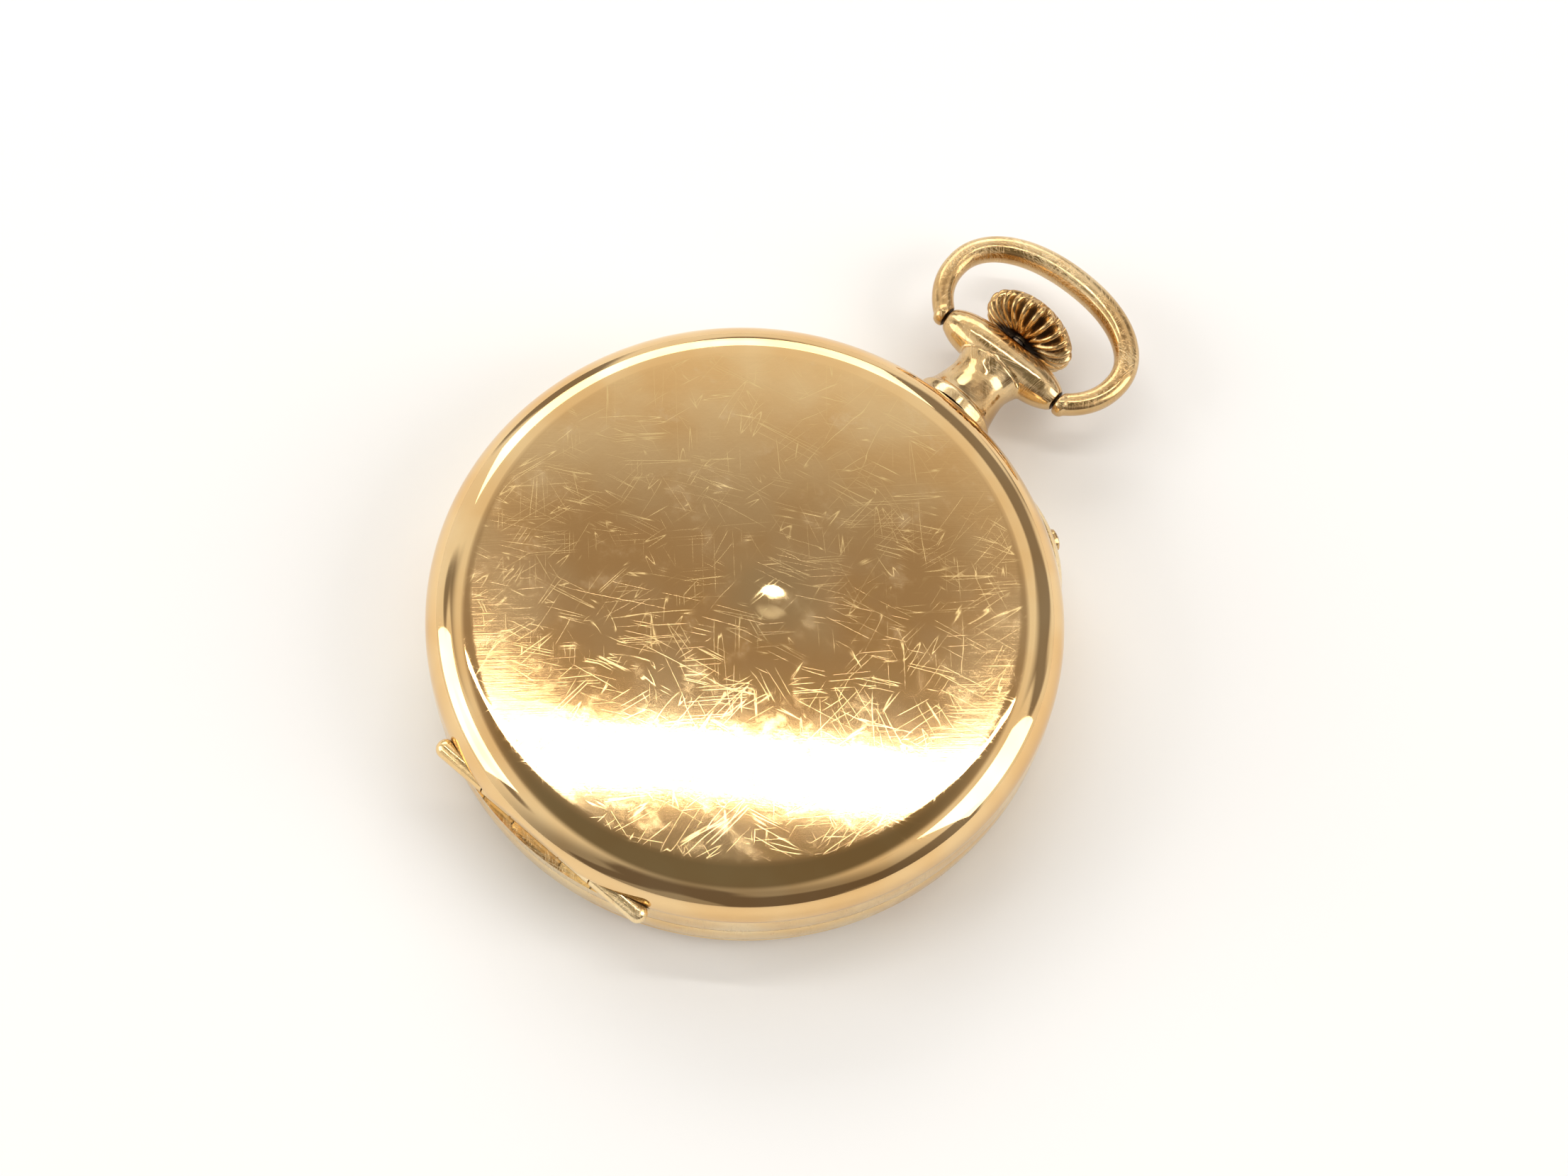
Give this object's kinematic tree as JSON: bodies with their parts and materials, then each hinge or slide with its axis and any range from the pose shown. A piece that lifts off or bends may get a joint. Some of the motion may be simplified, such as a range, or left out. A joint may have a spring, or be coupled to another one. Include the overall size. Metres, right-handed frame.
{
  "type": "open face pocket watch",
  "caption": "Open face pocket watch with hinged gold back cover and inner cover, ribbed winding crown, swinging bow, small seconds dial and a lever movement.",
  "frame": {"origin": "middle of the crystal's flat outer face, on which the watch lies", "axes": "+Z the way the back cover faces; +Y towards the pendant, crown and bow at 12 o'clock; the dial faces -Z"},
  "size_m": [0.048, 0.0652, 0.0107],
  "materials": {
    "case_gold": "polished yellow gold",
    "cover_gold": "polished gold rim, worn satin disc with fine scratches and a dent",
    "crystal": "clear",
    "enamel": "glossy white enamel with black numerals",
    "ruby": "polished red stone",
    "nickel_plate": "nickelled, striped",
    "gilt_brass": "gilt",
    "balance_gilt": "polished gilt",
    "blued_steel": "blued",
    "steel": "polished steel"
  },
  "bodies": {
    "case": {"case_middle": "case_gold", "pendant": "case_gold", "hinge_pin": "steel", "bezel": "case_gold", "crystal": "crystal", "yoke": "steel", "main_plate": "nickel_plate", "barrel_bridge": "nickel_plate", "train_bridge": "nickel_plate", "balance_cock": "nickel_plate", "pallet_cock": "nickel_plate", "hairspring": "blued_steel", "regulator": "steel", "minute_wheel_stud": "steel", "dial": "enamel", "centre_jewel": "ruby", "third_jewel": "ruby", "fourth_jewel": "ruby", "escape_jewel": "ruby", "balance_jewel": "ruby", "barrel_bridge_screw_1": "blued_steel", "barrel_bridge_screw_2": "blued_steel", "train_bridge_screw_1": "blued_steel", "train_bridge_screw_2": "blued_steel", "case_screw_1": "blued_steel", "case_screw_2": "blued_steel", "balance_cock_screw": "blued_steel", "click_screw": "blued_steel"},
    "cover": {"back_cover": "cover_gold"},
    "inner_cover": {"cuvette": "case_gold"},
    "bow": {"bow": "case_gold"},
    "winding_stem": {"crown": "case_gold", "winding_stem": "steel", "winding_pinion": "steel", "sliding_pinion": "steel"},
    "crown_wheel": {"crown_wheel": "steel", "contrate_wheel": "steel"},
    "ratchet": {"ratchet_wheel": "steel", "barrel_arbor": "steel"},
    "click": {"click": "steel"},
    "setting_pin": {"setting_pin": "case_gold"},
    "centre": {"centre_wheel": "gilt_brass", "cannon_pinion": "steel", "minute_hand": "blued_steel"},
    "barrel": {"barrel": "gilt_brass", "barrel_lid": "gilt_brass", "mainspring": "steel"},
    "third": {"third_wheel": "gilt_brass"},
    "fourth": {"fourth_wheel": "gilt_brass", "seconds_hand": "blued_steel"},
    "escape": {"escape_wheel": "steel"},
    "minute_wheel": {"minute_wheel": "gilt_brass"},
    "hour": {"hour_wheel": "gilt_brass", "hour_hand": "blued_steel"},
    "pallet": {"pallet_fork": "steel"},
    "balance": {"balance_wheel": "balance_gilt", "balance_staff": "steel"}
  },
  "joints": [
    {"name": "cover_hinge", "type": "hinge", "parent": "case", "child": "cover", "pos_m": [0, -0.02265, 0.00707], "axis": [1, 0, 0], "range_deg": [0, 90]},
    {"name": "cuvette_hinge", "type": "hinge", "parent": "case", "child": "inner_cover", "pos_m": [0, -0.02265, 0.00707], "axis": [1, 0, 0], "range_deg": [0, 80]},
    {"name": "bow_hinge", "type": "hinge", "parent": "case", "child": "bow", "pos_m": [0, 0.0308, 0.00461], "axis": [1, 0, 0], "range_deg": [-120, 120]},
    {"name": "crown_spin", "type": "hinge", "parent": "case", "child": "winding_stem", "pos_m": [0, 0.0328, 0.00461], "axis": [0, 1, 0], "continuous": true},
    {"name": "crown_wheel_spin", "type": "hinge", "parent": "case", "child": "crown_wheel", "pos_m": [0, 0.01411, 0.00461], "axis": [0, 0, 1], "continuous": true},
    {"name": "ratchet_spin", "type": "hinge", "parent": "case", "child": "ratchet", "pos_m": [-0.00714, 0.00558, 0.00461], "axis": [0, 0, 1], "continuous": true},
    {"name": "click_rock", "type": "hinge", "parent": "case", "child": "click", "pos_m": [0.00123, 0.00286, 0.00461], "axis": [0, 0, 1], "range_deg": [-12, 0]},
    {"name": "setting_pin_push", "type": "slide", "parent": "case", "child": "setting_pin", "axis": [-0.515, -0.8572, 0], "range_m": [0, 0.0008], "stiffness_N_per_m": 400},
    {"name": "centre_spin", "type": "hinge", "parent": "case", "child": "centre", "pos_m": [0, 0, 0.00461], "axis": [0, 0, 1], "continuous": true},
    {"name": "barrel_spin", "type": "hinge", "parent": "case", "child": "barrel", "pos_m": [-0.00714, 0.00558, 0.00461], "axis": [0, 0, 1], "continuous": true},
    {"name": "third_spin", "type": "hinge", "parent": "case", "child": "third", "pos_m": [0.0036, -0.00535, 0.00461], "axis": [0, 0, 1], "continuous": true},
    {"name": "fourth_spin", "type": "hinge", "parent": "case", "child": "fourth", "pos_m": [0, -0.0096, 0.00461], "axis": [0, 0, 1], "continuous": true},
    {"name": "escape_spin", "type": "hinge", "parent": "case", "child": "escape", "pos_m": [-0.00401, -0.01252, 0.00461], "axis": [0, 0, 1], "continuous": true},
    {"name": "minute_wheel_spin", "type": "hinge", "parent": "case", "child": "minute_wheel", "pos_m": [0.00239, 0.00414, 0.00461], "axis": [0, 0, 1], "continuous": true},
    {"name": "hour_spin", "type": "hinge", "parent": "case", "child": "hour", "pos_m": [0, 0, 0.00461], "axis": [0, 0, 1], "continuous": true},
    {"name": "pallet_rock", "type": "hinge", "parent": "case", "child": "pallet", "pos_m": [-0.00687, -0.00966, 0.00461], "axis": [0, 0, 1], "range_deg": [-5, 5]},
    {"name": "balance_swing", "type": "hinge", "parent": "case", "child": "balance", "pos_m": [-0.01062, -0.00591, 0.00461], "axis": [0, 0, 1], "range_deg": [-135, 135]}
  ],
  "couplings": [
    {"joint": "cuvette_hinge", "follows": "cover_hinge", "ratio": 0.85},
    {"joint": "crown_wheel_spin", "follows": "crown_spin", "ratio": -0.38462},
    {"joint": "ratchet_spin", "follows": "crown_spin", "ratio": 0.25641},
    {"joint": "barrel_spin", "follows": "centre_spin", "ratio": -0.16667},
    {"joint": "third_spin", "follows": "centre_spin", "ratio": -8},
    {"joint": "fourth_spin", "follows": "centre_spin", "ratio": 60},
    {"joint": "escape_spin", "follows": "centre_spin", "ratio": -600},
    {"joint": "minute_wheel_spin", "follows": "centre_spin", "ratio": -0.33333},
    {"joint": "hour_spin", "follows": "centre_spin", "ratio": 0.083333}
  ]
}
